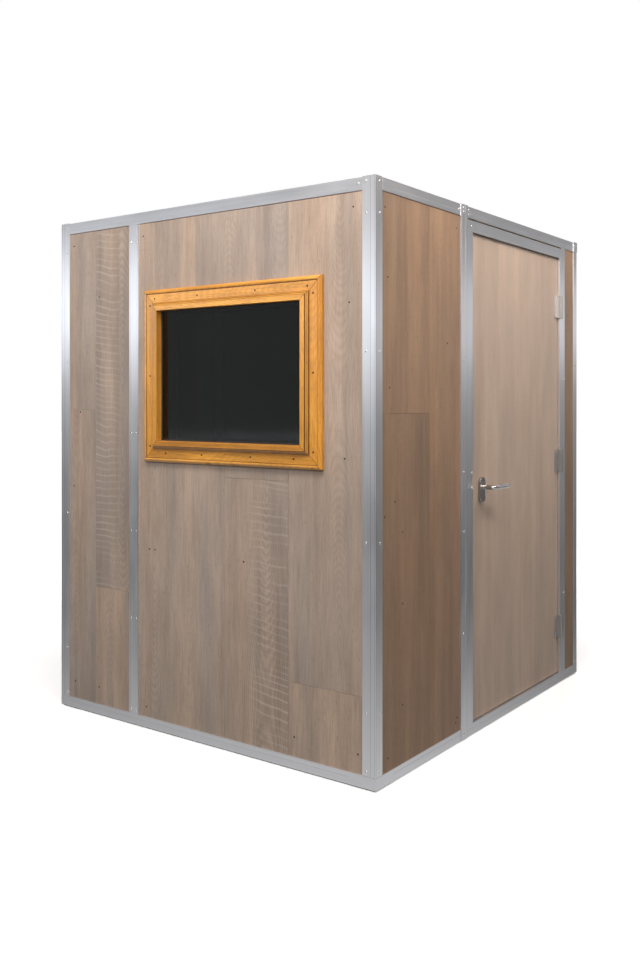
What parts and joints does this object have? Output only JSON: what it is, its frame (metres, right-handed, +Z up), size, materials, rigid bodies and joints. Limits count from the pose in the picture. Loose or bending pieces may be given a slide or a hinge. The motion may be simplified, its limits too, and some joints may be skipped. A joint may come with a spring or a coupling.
{
  "type": "telephone booth",
  "caption": "Walk-in soundproof booth with board walls in an aluminium frame, an oak-cased window and a hinged door with a lever handle.",
  "frame": {"origin": "centre of the booth's footprint on the floor, on the underside of the middle isolation strip", "axes": "+Z up; the window wall faces -Y, the door wall faces +X"},
  "size_m": [1.7758, 1.9278, 2.2],
  "materials": {
    "aluminium_profile": "brushed mill finish",
    "satin_steel": "satin",
    "bright_screw": "bright zinc",
    "dark_screw": "dark matt",
    "grey_oak_board": "greyed oak grain, matt",
    "brown_oak_board": "brown oak grain, matt",
    "pale_oak_board": "pale oak grain, matt",
    "golden_oak": "varnished",
    "softwood": "sawn",
    "mineral_wool": "fibrous",
    "felt_board": "pressed fibre",
    "roof_sheet": "matt",
    "vinyl_floor": "matt vinyl",
    "light_diffuser": "opal",
    "vent_plastic": "matt",
    "black_rubber": "matt",
    "black_liner": "black stain",
    "dark_glass": "clear, grey tint"
  },
  "bodies": {
    "booth": {"isolation_strips": "black_rubber", "floor_deck": "softwood", "floor_covering": "vinyl_floor", "bottom_rail_front": "aluminium_profile", "bottom_rail_door_side": "aluminium_profile", "bottom_rails_rear": "aluminium_profile", "top_rail_front": "aluminium_profile", "top_rail_door_side": "aluminium_profile", "top_rails_rear": "aluminium_profile", "corner_post_front_right": "aluminium_profile", "corner_post_front_left": "aluminium_profile", "corner_post_back_right": "aluminium_profile", "corner_post_back_left": "aluminium_profile", "corner_feet": "aluminium_profile", "post_caps": "aluminium_profile", "joint_profile_front": "aluminium_profile", "joint_profiles_rear": "aluminium_profile", "door_post_latch": "aluminium_profile", "door_post_hinge": "aluminium_profile", "cladding_front_narrow": "grey_oak_board", "cladding_front_window": "grey_oak_board", "cladding_door_side": "brown_oak_board", "cladding_filler": "brown_oak_board", "cladding_back": "grey_oak_board", "cladding_left": "grey_oak_board", "timber_frame": "softwood", "insulation": "mineral_wool", "wall_linings": "felt_board", "roof_board": "roof_sheet", "ceiling_lining": "felt_board", "roof_ledge": "aluminium_profile", "ceiling_light": "light_diffuser", "ceiling_vent": "vent_plastic", "door_frame_head": "aluminium_profile", "door_frame_latch_jamb": "aluminium_profile", "door_frame_hinge_jamb": "aluminium_profile", "door_threshold": "aluminium_profile", "door_stops": "aluminium_profile", "door_seal": "black_rubber", "strike_plate": "satin_steel", "hinge_frame_halves": "satin_steel", "window_liner": "black_liner", "window_casing_outside": "golden_oak", "window_casing_inside": "golden_oak", "window_pane_outside": "dark_glass", "window_pane_inside": "dark_glass", "glazing_seal": "black_rubber", "frame_screws": "bright_screw", "cladding_screws": "dark_screw", "casing_screws": "dark_screw"},
    "door": {"door_skin_outside": "pale_oak_board", "door_core": "softwood", "door_skin_inside": "pale_oak_board", "lock_case": "satin_steel", "backplates": "satin_steel", "hinge_door_halves": "satin_steel"},
    "handle": {"lever_outside": "satin_steel", "lever_inside": "satin_steel", "lever_spindle": "satin_steel"},
    "latch": {"latch_bolt": "satin_steel"}
  },
  "joints": [
    {"name": "door_swing", "type": "hinge", "parent": "booth", "child": "door", "pos_m": [0.8625, 0.725, 1], "axis": [0, 0, 1], "range_deg": [0, 170]},
    {"name": "lever_turn", "type": "hinge", "parent": "door", "child": "handle", "pos_m": [0.85, -0.1075, 1.027], "axis": [1, 0, 0], "range_deg": [-40, 0], "stiffness_Nm_per_rad": 0.6, "springref_deg": 8.59},
    {"name": "latch_slide", "type": "slide", "parent": "door", "child": "latch", "axis": [0, 1, 0], "range_m": [0, 0.012]}
  ],
  "couplings": [
    {"joint": "latch_slide", "follows": "lever_turn", "m_per_rad": -0.0171}
  ]
}
